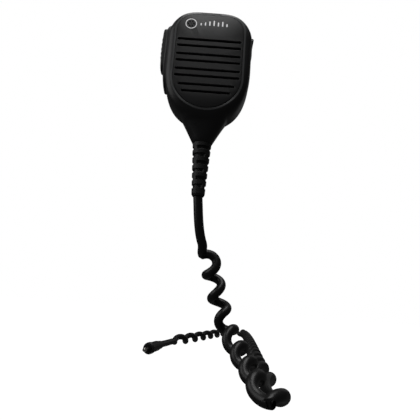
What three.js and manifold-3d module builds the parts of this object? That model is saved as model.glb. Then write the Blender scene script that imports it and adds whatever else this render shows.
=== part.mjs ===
// Hand microphone: a speaker microphone with a push-to-talk bar, an ear jack, a swivel clip
// and a curly cord that ends in a slim single-pin plug.
// Millimetres, +Z up. The grille faces -Y. The origin is on the flat back face of the clip,
// where a strap or a bracket plate lies against it.
import * as THREE from 'three';
import { mergeVertices } from 'three/addons/utils/BufferGeometryUtils.js';
import Module from 'manifold-3d';

const wasm = await Module();
wasm.setup();

// ---------------------------------------------------------------- driving dimensions

const gap = 0.3;               // between faces that touch on the real thing
const fine = 20;               // sides of a round piece that is seen
const coarse = 10;             // sides of a small round piece

const head = {
  halfWidth: 28.8, top: 25.2, axisY: -20.5, front: -34.75, rear: -6.25,
  topRoundFrom: 5, topPower: 2.1, lowRoundFrom: -15, low: -56, cornerPower: 2.5,
  edgeRound: 9, edgePower: 2.2, lowEdgeFrom: -38, lowEdge: -60,
  frontPower: 5, rearPower: 4, wall: 2.2, parting: -14.5,
};
const neck = { top: -50, end: -69.5, radius: 6.4, slope: 0.52, depthSlope: 0.25, cavityEnd: -57 };
const gasket = { thickness: 0.9, inset: 0.5 };
const panel = {
  halfWidth: 22.4, top: 19, cornerRadius: 12, arcCentre: -27, front: -33.8, thickness: 1.8,
  ledge: 1.5, ledgeWidth: 3,
};
const slots = {
  count: 8, first: -0.6, inPair: 4.85, betweenPairs: 6.2, height: 1.6, sideMargin: 1.1,
};
const cloth = { thickness: 0.35 };
const micPort = { x: -13.3, z: 11.4, holeRadius: 0.55, ringRadius: 1.9, holes: 6 };
const capsule = { radius: 3, depth: 3, bootWall: 1.1 };
const speaker = {
  z: -18, radius: 18, rim: 3, frameDepth: 5, magnetRadius: 9, magnetDepth: 4.6, gasket: 0.9,
  coneWall: 0.8, capRadius: 5,
};
const board = { halfWidth: 22, top: 13.5, bottom: -40, back: -15.3, thickness: 1.6, cornerRadius: 4 };
const ptt = {
  z: -4, y: -22.3, length: 33, depth: 10.6, face: -32.9, flange: 1.4, flangeThickness: 1.2,
  travel: 1.5, frameWall: 2, frameTail: 12, frameProud: 1.4, postRadius: 2,
};
const pttSwitch = { width: 5.4, height: 6, depth: 4, plungerRadius: 1.2, plungerLength: 2.2, x: -16 };
const jack = {
  z: -2.4, y: -22.3, boreRadius: 1.9, bodyRadius: 3.6, length: 12, hole: 4,
  coverHalfDepth: 4.5, coverLength: 15, coverThickness: 1.5, hingeZ: 7, pinRadius: 0.5, nub: 1.5,
};
const screws = {
  x: 17.6, z: 17.6, lowX: 17.4, lowZ: -41.8, radius: 1.3, headRadius: 2.5, headDepth: 1.8,
  boss: 3.1, length: 16,
};
const swivel = {
  z: 11, plateRadius: 11.5, plateThickness: 1.75, screwRadius: 2, headRadius: 4.4, headDepth: 1.8,
  headBack: -0.8, insertRadius: 3.4, insertLength: 5,
};
const clip = {
  halfWidth: 11, top: 23.5, bottom: -33, cornerRadius: 5, thickness: 3.6,
  earWidth: 3, earRadius: 3.6, pinY: 6.6, pinZ: 17.5, pinRadius: 1.2,
  leverThickness: 2.4, leverInnerY: 6.2, leverTop: 29, jawReach: 0.3, jawHeight: 4,
  padHalfWidth: 9.8, padTop: 5, padBottom: -24.5, padHeight: 0.4,
};
const spring = { wire: 0.45, radius: 2.5, turns: 4, pitch: 1.3 };
const boot = {
  topRadius: 6.2, endRadius: 4.2, end: -105.2, ribs: 6, groove: 1, grooveDepth: 0.9,
  sleeve: 4.6, flangeRadius: 5.7, flangeTop: -60.4, flangeThickness: 2,
};
const cord = { diameter: 6, curlDiameter: 10.4, floor: -216.3 };
const clamp = { halfWidth: 7.5, halfDepth: 5, height: 4.4, top: -49.6 };
const wire = { radius: 0.55 };
const plug = {
  bootLength: 12, bootEndRadius: 3.7, bootRadius: 4.2, bodyRadius: 4.5, bodyLength: 20, bodyEdge: 0.6,
  nutRadius: 5, nutLength: 7, collarRadius: 2.6, collarLength: 0.8,
  pinRadius: 1.75, pinLength: 14, bandLength: 2, insulatorLength: 0.8,
};

// The free cord, from the boot to the plug, as points on its centreline. It hangs from the boot,
// reaches the floor, turns round, runs away along it, turns again and comes back to its plug.
const curlStart = [9, -11.4, -141.6];
const curlEnd = [-21.6, 165, -210.6];
const cordEndZ = cord.floor + plug.nutRadius;
const leadRoute = [
  [0, -20.5, boot.end - gap], [0.6, -20.3, -111], [1.3, -19.8, -117.6], [2.2, -19, -124],
  [3.4, -18, -129.8], [4.9, -16.6, -134.4], [6.8, -14.6, -138.2], curlStart,
];
const curlRoute = [
  curlStart, [11.8, -4.6, -148.2], [16.3, 1.8, -162.6], [21.3, 3.2, -177], [26.3, -6, -188.8],
  [30.5, -25.4, -196.2], [33.6, -46.4, -201.4], [35.2, -64, -204.4], [36, -76, -206.8],
  [39.8, -85.2, -209.8], [44.6, -79.5, -210.8], [45.6, -66, -210.8], [45.6, -52, -210.6],
  [45.9, -36, -210.3], [47.2, -5, -210], [49.2, 28, -210], [53.4, 78, -210], [59.6, 150, -210],
  [65.6, 222, -210], [70.2, 285, -210], [73.4, 345, -210], [73, 385, -210], [69.5, 404, -210],
  [60.5, 410, -210], [51, 397, -210], [39, 362, -210], [25, 317, -210], [11, 271, -210],
  [-3, 225, -210], [-15, 187, -210], curlEnd,
];
const tailRoute = [
  curlEnd, [-25.6, 151, -211.1], [-28.6, 141, cordEndZ], [-29.8, 133, cordEndZ],
  [-31.5, 121.7, cordEndZ],
];

// ---------------------------------------------------------------- materials

const finish = (color, roughness, metalness = 0) =>
  new THREE.MeshStandardMaterial({ color, roughness, metalness });
const finishes = {
  shell: finish(0x17181a, 0.5),
  grille: finish(0x1d1e20, 0.55),
  cloth: finish(0x0b0b0c, 0.95),
  rubber: finish(0x141415, 0.75),
  steel: finish(0xa6a8ab, 0.35, 1),
  nickel: finish(0xc4c2bb, 0.25, 1),
  brass: finish(0xb5913f, 0.35, 1),
  board: finish(0x1f5a35, 0.5),
  paper: finish(0x2b2723, 0.9),
  magnet: finish(0x4b4c50, 0.45, 1),
  cord: finish(0x101011, 0.45),
  redWire: finish(0x9c1f1b, 0.5),
  whiteWire: finish(0xc8c6bd, 0.5),
  insulator: finish(0x0d0d0d, 0.4),
};

// ---------------------------------------------------------------- solids

function toSolid(geometry) {
  const bare = geometry.clone();
  bare.deleteAttribute('normal');
  bare.deleteAttribute('uv');
  const merged = mergeVertices(bare, 1e-4);
  const position = merged.attributes.position;
  const corner = (i) => new THREE.Vector3().fromBufferAttribute(position, i);
  const index = merged.index.array;
  const triangles = [];
  let volume = 0;
  for (let i = 0; i < index.length; i += 3) {
    const [a, b, c] = [index[i], index[i + 1], index[i + 2]];
    if (a === b || b === c || c === a) continue;
    triangles.push([a, b, c]);
    volume += corner(a).dot(corner(b).cross(corner(c)));
  }
  const outward = volume < 0 ? triangles.map(([a, b, c]) => [a, c, b]) : triangles;
  return new wasm.Manifold(new wasm.Mesh({
    numProp: 3,
    vertProperties: new Float32Array(position.array),
    triVerts: new Uint32Array(outward.flat()),
  }));
}

function toGeometry(solid) {
  const mesh = solid.getMesh();
  const geometry = new THREE.BufferGeometry();
  geometry.setAttribute('position', new THREE.BufferAttribute(new Float32Array(mesh.vertProperties), 3));
  geometry.setIndex(new THREE.BufferAttribute(new Uint32Array(mesh.triVerts), 1));
  geometry.computeVertexNormals();
  return geometry;
}

const join = (first, ...others) => others.reduce((whole, other) => whole.add(other), first);
const cut = (first, ...others) => others.reduce((whole, other) => whole.subtract(other), first);

// A flat outline in x and z, carried from one y to another.
function plate(shape, yFront, yBack, curveSegments = 8) {
  const geometry = new THREE.ExtrudeGeometry(shape, { depth: yBack - yFront, bevelEnabled: false, curveSegments });
  const axes = new THREE.Matrix4().makeBasis(
    new THREE.Vector3(1, 0, 0), new THREE.Vector3(0, 0, 1), new THREE.Vector3(0, -1, 0));
  return toSolid(geometry.applyMatrix4(axes).translate(0, yBack, 0));
}

// A flat outline in y and z, carried from one x to another.
function sidePlate(shape, xFrom, xTo, curveSegments = 6) {
  const geometry = new THREE.ExtrudeGeometry(shape, { depth: xTo - xFrom, bevelEnabled: false, curveSegments });
  const axes = new THREE.Matrix4().makeBasis(
    new THREE.Vector3(0, 1, 0), new THREE.Vector3(0, 0, 1), new THREE.Vector3(1, 0, 0));
  return toSolid(geometry.applyMatrix4(axes).translate(xFrom, 0, 0));
}

function roundedRectangle(width, height, radius, centreX = 0, centreY = 0) {
  const [x, y] = [centreX - width / 2, centreY - height / 2];
  const shape = new THREE.Shape();
  shape.moveTo(x + radius, y);
  shape.lineTo(x + width - radius, y);
  shape.absarc(x + width - radius, y + radius, radius, -Math.PI / 2, 0);
  shape.absarc(x + width - radius, y + height - radius, radius, 0, Math.PI / 2);
  shape.absarc(x + radius, y + height - radius, radius, Math.PI / 2, Math.PI);
  shape.absarc(x + radius, y + radius, radius, Math.PI, Math.PI * 1.5);
  return shape;
}

function box(low, high) {
  const size = high.map((value, i) => value - low[i]);
  const centre = high.map((value, i) => (value + low[i]) / 2);
  return toSolid(new THREE.BoxGeometry(...size).translate(...centre));
}

// A turned piece: [radius, distance] pairs along an axis through a point.
function turned(profile, axis, centre = [0, 0, 0], sides = fine) {
  const points = profile.map(([radius, along]) => new THREE.Vector2(radius, along));
  const geometry = new THREE.LatheGeometry(points, sides);
  if (axis === 'z') geometry.rotateX(Math.PI / 2);
  if (axis === 'x') geometry.rotateZ(-Math.PI / 2);
  return toSolid(geometry.translate(...centre));
}

const rod = (radius, from, to, axis, centre, sides = fine) =>
  turned([[0, from], [radius, from], [radius, to], [0, to]], axis, centre, sides);
const ring = (inner, outer, from, to, axis, centre, sides = fine) =>
  turned([[inner, from], [outer, from], [outer, to], [inner, to], [inner, from]], axis, centre, sides);

// Rings of points joined in order, with a flat cap on each end.
function loft(rings) {
  const sides = rings[0].length;
  const vertices = rings.flat();
  const triangles = [];
  for (let level = 0; level < rings.length - 1; level++) {
    for (let side = 0; side < sides; side++) {
      const a = level * sides + side;
      const b = level * sides + (side + 1) % sides;
      triangles.push([a, b, a + sides], [b, b + sides, a + sides]);
    }
  }
  for (const [level, turn] of [[0, 1], [rings.length - 1, 0]]) {
    const centre = vertices.push(new THREE.Vector3()
      .addVectors(rings[level][0], rings[level][sides / 2]).multiplyScalar(0.5)) - 1;
    for (let side = 0; side < sides; side++) {
      const a = level * sides + side;
      const b = level * sides + (side + 1) % sides;
      triangles.push(turn ? [b, a, centre] : [a, b, centre]);
    }
  }
  const geometry = new THREE.BufferGeometry().setFromPoints(vertices);
  geometry.setIndex(triangles.flat());
  return toSolid(geometry);
}

// A round tube along a smooth curve through the points, square-cut at its ends.
function tube(points, diameter, steps, sides) {
  const curve = new THREE.CatmullRomCurve3(points.map((point) => new THREE.Vector3(...point)), false, 'centripetal');
  const section = new THREE.Shape();
  for (let side = 0; side < sides; side++) {
    const angle = 2 * Math.PI * (side + 0.5) / sides;
    const [x, y] = [diameter / 2 * Math.cos(angle), diameter / 2 * Math.sin(angle)];
    if (side === 0) section.moveTo(x, y);
    else section.lineTo(x, y);
  }
  return toSolid(new THREE.ExtrudeGeometry(section, { steps, extrudePath: curve, bevelEnabled: false }));
}

// A route with one end moved along its own direction, so that two pieces meet with a gap.
function shortened(points, startGap, endGap) {
  const route = points.map((point) => new THREE.Vector3(...point));
  const pull = (end, next, distance) => end.add(next.clone().sub(end).setLength(distance));
  pull(route[0], route[1], startGap);
  pull(route[route.length - 1], route[route.length - 2], endGap);
  return route.map((point) => point.toArray());
}

// ---------------------------------------------------------------- head shape

// Falls from 1 to 0 as t goes from 0 to 1, as the quarter of a superellipse does.
const fall = (t, power) => (1 - THREE.MathUtils.clamp(t, 0, 1) ** power) ** (1 / power);

function headSkin(inset) {
  return {
    halfWidth: head.halfWidth - inset, top: head.top - inset, low: head.low + inset,
    frontDepth: head.axisY - head.front - inset, rearDepth: head.rear - head.axisY - inset,
    lowEdge: head.lowEdge + inset, neck: neck.radius - inset,
  };
}

// The top is cut flat a little below the superellipse's own top, so its cap has a width.
const topFlat = 0.3;

function halfWidthAt(z, skin) {
  const up = (z - head.topRoundFrom) / (skin.top + topFlat - head.topRoundFrom);
  const down = (head.lowRoundFrom - z) / (head.lowRoundFrom - skin.low);
  const cone = skin.neck + neck.slope * (z - neck.end);
  const rounded = skin.halfWidth * fall(up, head.topPower) * fall(down, head.cornerPower);
  return z < neck.top ? Math.max(rounded, cone) : rounded;
}

function depthAt(z, depth, skin) {
  const up = (z - skin.top + head.edgeRound) / (head.edgeRound + topFlat);
  const down = (head.lowEdgeFrom - z) / (head.lowEdgeFrom - skin.lowEdge);
  const cone = skin.neck + neck.depthSlope * (z - neck.end);
  const rounded = depth * fall(up, head.edgePower) * fall(down, head.cornerPower);
  return z < neck.top ? Math.max(rounded, cone) : rounded;
}

function headRing(z, skin) {
  const sides = 32;
  const halfWidth = halfWidthAt(z, skin);
  const neckShare = THREE.MathUtils.smoothstep(-z, -head.lowEdgeFrom, -neck.end);
  const points = [];
  for (let side = 0; side < sides; side++) {
    const angle = 2 * Math.PI * side / sides;
    const front = Math.sin(angle) < 0;
    const power = THREE.MathUtils.lerp(front ? head.frontPower : head.rearPower, 2, neckShare);
    const depth = depthAt(z, front ? skin.frontDepth : skin.rearDepth, skin);
    const bend = (value) => Math.sign(value) * Math.abs(value) ** (2 / power);
    points.push(new THREE.Vector3(halfWidth * bend(Math.cos(angle)), head.axisY + depth * bend(Math.sin(angle)), z));
  }
  return points;
}

function headSolid(inset, end) {
  const skin = headSkin(inset);
  const levels = [];
  const topSteps = 6;
  for (let step = topSteps; step > 0; step--) {
    levels.push(head.topRoundFrom + (skin.top - head.topRoundFrom) * Math.sin(step / topSteps * Math.PI / 2));
  }
  const lowSteps = 6;
  for (let step = 0; step <= lowSteps; step++) {
    levels.push(head.lowRoundFrom + (head.lowEdge + 6 - head.lowRoundFrom) * Math.sin(step / lowSteps * Math.PI / 2));
  }
  const lowest = levels[levels.length - 1];
  const neckSteps = 3;
  for (let step = 1; step <= neckSteps; step++) {
    levels.push(THREE.MathUtils.lerp(lowest, end, step / neckSteps));
  }
  return loft(levels.map((z) => headRing(z, skin)));
}

function panelOutline(inset) {
  const [side, corner] = [panel.halfWidth - inset, panel.cornerRadius - inset];
  const top = panel.top - inset;
  const shape = new THREE.Shape();
  shape.moveTo(side, panel.arcCentre);
  shape.lineTo(side, top - corner);
  shape.absarc(side - corner, top - corner, corner, 0, Math.PI / 2);
  shape.lineTo(-(side - corner), top);
  shape.absarc(-(side - corner), top - corner, corner, Math.PI / 2, Math.PI);
  shape.lineTo(-side, panel.arcCentre);
  shape.absarc(0, panel.arcCentre, side, Math.PI, 2 * Math.PI);
  return shape;
}

const outer = headSolid(0, neck.end);
const hollow = headSolid(head.wall, neck.cavityEnd);
const far = 200;
const inFront = (y) => box([-far, -far, -far], [far, y, far]);
const behind = (y) => box([-far, y, -far], [far, far, far]);

const panelBack = panel.front + panel.thickness;
const ledgeFront = panelBack + gap;
const ledgeBack = ledgeFront + panel.ledge;
const rearInside = head.rear - head.wall;
const screwSpots = [[-screws.x, screws.z], [screws.x, screws.z], [-screws.lowX, screws.lowZ], [screws.lowX, screws.lowZ]];
const frontFace = head.parting - gasket.thickness / 2 - gap;
const rearFace = head.parting + gasket.thickness / 2 + gap;

// The opening for the boot: a bore for its sleeve and a groove for its flange.
const bootSeat = join(
  rod(boot.sleeve + gap, neck.end - 1, neck.cavityEnd + 1, 'z', [0, head.axisY, 0]),
  rod(boot.flangeRadius + gap, boot.flangeTop - boot.flangeThickness - gap, boot.flangeTop + gap, 'z', [0, head.axisY, 0]));

// ---------------------------------------------------------------- sub-parts

const microphone = new THREE.Group();

function add(name, solid, material) {
  const mesh = new THREE.Mesh(toGeometry(solid), material);
  mesh.name = name;
  microphone.add(mesh);
}

const pttOpening = (grow) => roundedRectangle(
  ptt.depth + 2 * grow, ptt.length + 2 * grow, ptt.depth / 4 + grow, ptt.y, ptt.z);
const pttSurround = (grow) => roundedRectangle(
  ptt.depth + 2 * (ptt.frameWall + grow), ptt.length + ptt.frameTail + 2 * (ptt.frameWall + grow),
  ptt.depth / 4 + ptt.frameWall + grow, ptt.y, ptt.z - ptt.frameTail / 2);

function makeShells() {
  const wallX = head.halfWidth - head.wall;
  const pttHole = sidePlate(pttSurround(gap), -far, -wallX + 6);
  const jackHole = rod(jack.hole, wallX - 3, far, 'x', [0, jack.y, jack.z]);
  const coverPocket = sidePlate(roundedRectangle(
    2 * (jack.coverHalfDepth + gap), jack.coverLength + 2 * gap, 1.5, jack.y,
    jack.hingeZ + 1.6 - jack.coverLength / 2), head.halfWidth - jack.coverThickness, far);

  let front = cut(outer, hollow);
  const ledge = plate(panelOutline(-2), ledgeFront, ledgeBack)
    .subtract(plate(panelOutline(panel.ledgeWidth), ledgeFront - 1, ledgeBack + 1))
    .subtract(rod(capsule.radius + capsule.bootWall + gap, ledgeFront - 1, ledgeBack + 1, 'y', [micPort.x, 0, micPort.z]))
    .intersect(outer);
  front = front.add(ledge);
  for (const [x, z] of screwSpots) {
    front = front.add(rod(screws.boss, ledgeFront, frontFace, 'y', [x, 0, z], coarse).intersect(outer));
  }
  for (const [x, z] of screwSpots) {
    front = front.subtract(rod(screws.radius + gap, head.rear - screws.length, frontFace + 1, 'y', [x, 0, z], coarse));
  }
  front = cut(front, plate(panelOutline(-gap), -far, ledgeFront), pttHole, jackHole, coverPocket, bootSeat,
    behind(frontFace));
  add('front_shell', front, finishes.shell);

  let rear = cut(outer, hollow);
  for (const [x, z] of screwSpots) {
    rear = rear.add(rod(screws.boss, rearFace, rearInside + 1, 'y', [x, 0, z], coarse).intersect(outer));
    rear = rear.subtract(rod(screws.radius + gap, rearFace - 1, head.rear + 1, 'y', [x, 0, z], coarse));
    rear = rear.subtract(rod(screws.headRadius + gap, head.rear - screws.headDepth - gap, head.rear + 1, 'y', [x, 0, z], coarse));
  }
  rear = rear.add(rod(swivel.insertRadius + 2, head.rear - swivel.insertLength - gap, head.rear - 1, 'y', [0, 0, swivel.z]));
  rear = rear.subtract(rod(swivel.insertRadius + gap, head.rear - swivel.insertLength - 1, head.rear + 1, 'y', [0, 0, swivel.z]));
  for (const x of baseScrewX) {
    rear = rear.subtract(rod(baseScrew.radius + gap, rearInside - 1, head.rear + 1, 'y', [x, 0, swivel.z], coarse));
  }
  rear = cut(rear, bootSeat, inFront(rearFace));
  add('rear_shell', rear, finishes.shell);

  const band = cut(headSolid(gasket.inset, neck.end + 1), headSolid(head.wall - gasket.inset, neck.cavityEnd));
  const seal = cut(band, inFront(head.parting - gasket.thickness / 2), behind(head.parting + gasket.thickness / 2),
    rod(boot.flangeRadius + 1, neck.end - 1, neck.cavityEnd + 1, 'z', [0, head.axisY, 0]),
    box([-far, -far, -far], [far, far, neck.cavityEnd + 1]));
  add('housing_gasket', seal, finishes.rubber);

  screwSpots.forEach(([x, z], i) => {
    const back = head.rear - gap;
    const screw = join(
      rod(screws.radius, head.rear - screws.length + 1, back - screws.headDepth, 'y', [x, 0, z], coarse),
      rod(screws.headRadius, back - screws.headDepth, back, 'y', [x, 0, z], coarse))
      .subtract(crossSlot(x, z, back));
    add(`housing_screw_${i + 1}`, screw, finishes.steel);
  });
}

// A cross recess in a screw head whose top is at a given y.
function crossSlot(x, z, y) {
  const [long, narrow, deep] = [1.5, 0.32, 0.9];
  return join(
    box([x - long, y - deep, z - narrow], [x + long, y + 1, z + narrow]),
    box([x - narrow, y - deep, z - long], [x + narrow, y + 1, z + long]));
}

function makeGrille() {
  let body = plate(panelOutline(0), panel.front, panelBack, 12);
  for (let i = 0; i < slots.count; i++) {
    const pair = Math.floor(i / 2);
    const z = slots.first - pair * (slots.inPair + slots.betweenPairs) - (i % 2) * slots.inPair;
    const below = Math.max(0, panel.arcCentre - z + slots.height / 2);
    const room = Math.sqrt(panel.halfWidth ** 2 - below ** 2) - slots.sideMargin;
    const shape = roundedRectangle(2 * room, slots.height, slots.height / 2 - 0.05, 0, z);
    body = body.subtract(plate(shape, panel.front - 1, panelBack + 1, 3));
  }
  for (let i = 0; i < micPort.holes; i++) {
    const angle = 2 * Math.PI * i / micPort.holes;
    const [x, z] = [micPort.x + micPort.ringRadius * Math.cos(angle), micPort.z + micPort.ringRadius * Math.sin(angle)];
    body = body.subtract(rod(micPort.holeRadius, panel.front - 1, panelBack + 1, 'y', [x, 0, z], 8));
  }
  add('grille_panel', body, finishes.grille);
  const clothShape = panelOutline(panel.ledgeWidth + gap);
  const sheet = cut(plate(clothShape, panelBack + gap, panelBack + gap + cloth.thickness),
    rod(capsule.radius + capsule.bootWall + gap, panelBack, ledgeBack, 'y', [micPort.x, 0, micPort.z], coarse));
  add('grille_cloth', sheet, finishes.cloth);
}

const speakerFront = panelBack + gap + cloth.thickness + gap;

function makeSpeaker() {
  const at = [0, 0, speaker.z];
  const frameFront = speakerFront + speaker.gasket + gap;
  const frameBack = frameFront + speaker.frameDepth;
  const cone = speaker.radius - speaker.rim;
  add('speaker_gasket', ring(cone, speaker.radius, speakerFront, speakerFront + speaker.gasket, 'y', at), finishes.rubber);
  const frame = turned([
    [cone, frameFront], [speaker.radius, frameFront], [speaker.radius, frameFront + 1.2],
    [cone + 1, frameFront + 1.2], [speaker.magnetRadius + 1, frameBack], [speaker.magnetRadius - 2, frameBack],
    [speaker.magnetRadius - 2, frameBack - 1], [speaker.magnetRadius, frameBack - 1], [cone, frameFront + 1.2],
    [cone, frameFront]], 'y', at);
  add('speaker_frame', frame, finishes.steel);
  const coneBack = frameFront + speaker.frameDepth - 2;
  const diaphragm = turned([
    [0, coneBack - 1.6], [speaker.capRadius * 0.7, coneBack - 1.2], [speaker.capRadius, coneBack - speaker.coneWall],
    [cone - 1.4, frameFront], [cone - gap, frameFront], [cone - gap, frameFront + speaker.coneWall],
    [speaker.capRadius + 0.4, coneBack], [0, coneBack]], 'y', at);
  add('speaker_cone', diaphragm, finishes.paper);
  const magnetFront = frameBack + gap;
  add('speaker_magnet', rod(speaker.magnetRadius, magnetFront, magnetFront + speaker.magnetDepth, 'y', at), finishes.magnet);
}

function makeMicrophoneCapsule() {
  const at = [micPort.x, 0, micPort.z];
  const front = panelBack + gap;
  const bootRadius = capsule.radius + capsule.bootWall;
  const bootBack = front + capsule.depth + 1.6;
  const rubber = turned([
    [capsule.radius - 0.6, front], [bootRadius, front], [bootRadius, bootBack], [capsule.radius + gap, bootBack],
    [capsule.radius + gap, front + 1], [capsule.radius - 0.6, front + 1], [capsule.radius - 0.6, front]], 'y', at, coarse + 4);
  add('mic_boot', rubber, finishes.rubber);
  add('mic_capsule', rod(capsule.radius, front + 1 + gap, front + 1 + gap + capsule.depth, 'y', at, coarse + 4), finishes.nickel);
}

function makeBoard() {
  const middle = (board.top + board.bottom) / 2;
  let plane = plate(roundedRectangle(2 * board.halfWidth, board.top - board.bottom, board.cornerRadius, 0, middle),
    board.back - board.thickness, board.back, 4);
  const room = speakerBack + gap;
  plane = plane.subtract(rod(swivel.insertRadius + 2.6, -far, far, 'y', [0, 0, swivel.z], coarse));
  if (room > board.back - board.thickness) {
    plane = plane.subtract(rod(speaker.magnetRadius + gap, -far, far, 'y', [0, 0, speaker.z], coarse));
  }
  for (const [x, z] of screwSpots) {
    plane = plane.subtract(rod(screws.boss + gap, -far, far, 'y', [x, 0, z], coarse));
  }
  add('circuit_board', plane, finishes.board);
}

const speakerBack = speakerFront + speaker.gasket + gap + speaker.frameDepth + gap + speaker.magnetDepth;
const boardFront = board.back - board.thickness;

function makeTalkButton() {
  const wallInside = -(head.halfWidth - head.wall);
  const flangeOuter = wallInside + 0.6;
  const flangeInner = flangeOuter + ptt.flangeThickness;
  const bar = sidePlate(pttOpening(0), ptt.face + 1, flangeInner);
  const crown = sidePlate(pttOpening(-1), ptt.face, ptt.face + 1.5);
  const flange = sidePlate(pttOpening(ptt.flange), flangeOuter, flangeInner);
  const postEnd = pttSwitch.x - pttSwitch.width / 2 - pttSwitch.plungerLength - 2 * gap;
  const post = rod(ptt.postRadius, flangeInner - 0.5, postEnd, 'x', [0, ptt.y, ptt.z], coarse);
  add('ptt_button', join(bar, crown, flange, post), finishes.rubber);

  const frame = sidePlate(pttSurround(0), -far, 0).intersect(headSolid(-ptt.frameProud, neck.end))
    .subtract(hollow).subtract(sidePlate(pttOpening(gap), -far, 0))
    .subtract(sidePlate(pttOpening(ptt.flange + gap), flangeOuter - gap, 0));
  add('ptt_frame', frame, finishes.rubber);

  const switchLow = [pttSwitch.x - pttSwitch.width / 2, ptt.y - pttSwitch.depth / 2, ptt.z - pttSwitch.height / 2];
  const switchHigh = [pttSwitch.x + pttSwitch.width / 2, boardFront - gap, ptt.z + pttSwitch.height / 2];
  const bore = rod(pttSwitch.plungerRadius + gap, switchLow[0] - 1, pttSwitch.x + 1, 'x', [0, ptt.y, ptt.z], coarse);
  add('ptt_switch', cut(box(switchLow, switchHigh), bore), finishes.insulator);
  const plungerFrom = switchLow[0] - pttSwitch.plungerLength - gap;
  add('ptt_plunger', rod(pttSwitch.plungerRadius, plungerFrom, switchLow[0] + 1, 'x', [0, ptt.y, ptt.z], coarse), finishes.nickel);
}

function makeEarJack() {
  const wallInside = head.halfWidth - head.wall;
  const face = wallInside - gap;
  const body = turned([
    [jack.boreRadius, face], [jack.bodyRadius, face], [jack.bodyRadius, face - jack.length], [0, face - jack.length],
    [0, face - jack.length + 1], [jack.boreRadius, face - jack.length + 1], [jack.boreRadius, face]],
  'x', [0, jack.y, jack.z], coarse + 4);
  add('ear_jack', body, finishes.nickel);

  const outside = head.halfWidth - jack.coverThickness + gap;
  const barrelRadius = jack.pinRadius + gap + 0.4;
  const hingeX = outside + barrelRadius;
  const flapLength = jack.coverLength - 1.8;
  const flap = sidePlate(roundedRectangle(2 * jack.coverHalfDepth, flapLength, 1.4, jack.y,
    jack.hingeZ - flapLength / 2), outside, outside + jack.coverThickness);
  const barrel = rod(barrelRadius, -jack.coverHalfDepth, jack.coverHalfDepth, 'y', [hingeX, jack.y, jack.hingeZ], coarse);
  const nub = rod(jack.nub, outside - 1.2, outside + 0.5, 'x', [0, jack.y, jack.z], coarse);
  const pinHole = rod(jack.pinRadius + gap, -far, far, 'y', [hingeX, jack.y, jack.hingeZ], coarse);
  add('jack_cover', cut(join(flap, barrel, nub), pinHole), finishes.rubber);
  const pinHalf = jack.coverHalfDepth + gap * 0.5;
  add('jack_cover_pin', rod(jack.pinRadius, -pinHalf, pinHalf, 'y', [hingeX, jack.y, jack.hingeZ], coarse), finishes.steel);
}

const baseScrew = { radius: 0.9, headRadius: 1.7, headDepth: 0.9, length: 5 };
const baseScrewX = [-7.6, 7.6];
const basePlate = { front: head.rear + gap, back: head.rear + gap + swivel.plateThickness };
const clipFront = -clip.thickness;

function makeSwivel() {
  const at = [0, 0, swivel.z];
  let disc = ring(swivel.screwRadius + gap, swivel.plateRadius, basePlate.front, basePlate.back, 'y', at);
  for (const x of baseScrewX) {
    const headSeat = rod(baseScrew.headRadius + gap, basePlate.back - baseScrew.headDepth - gap, basePlate.back + 1, 'y', [x, 0, swivel.z], coarse);
    const hole = rod(baseScrew.radius + gap, basePlate.front - 1, basePlate.back + 1, 'y', [x, 0, swivel.z], coarse);
    disc = cut(disc, headSeat, hole);
  }
  add('clip_base', disc, finishes.shell);
  baseScrewX.forEach((x, i) => {
    const top = basePlate.back - gap / 2;
    add(`clip_base_screw_${i + 1}`, join(
      rod(baseScrew.radius, top - baseScrew.length, top - baseScrew.headDepth, 'y', [x, 0, swivel.z], coarse),
      rod(baseScrew.headRadius, top - baseScrew.headDepth, top, 'y', [x, 0, swivel.z], coarse)), finishes.steel);
  });
  add('swivel_insert', ring(swivel.screwRadius + gap, swivel.insertRadius, head.rear - swivel.insertLength, head.rear - gap, 'y', at), finishes.brass);
  const screw = join(
    rod(swivel.screwRadius, head.rear - swivel.insertLength + 0.5, swivel.headBack - swivel.headDepth, 'y', at),
    rod(swivel.headRadius, swivel.headBack - swivel.headDepth, swivel.headBack, 'y', at));
  add('swivel_screw', cut(screw, crossSlot(0, swivel.z, swivel.headBack)), finishes.steel);
}

function clipEar(from, to, grow = 0) {
  const shape = new THREE.Shape();
  const radius = clip.earRadius + grow;
  shape.moveTo(-clip.thickness / 2, clip.pinZ - radius - 1.5);
  shape.lineTo(clip.pinY - 1, clip.pinZ - radius);
  shape.absarc(clip.pinY, clip.pinZ, radius, -Math.PI / 2, Math.PI / 2);
  shape.lineTo(-clip.thickness / 2, clip.pinZ + radius);
  return sidePlate(shape, from, to);
}

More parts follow.
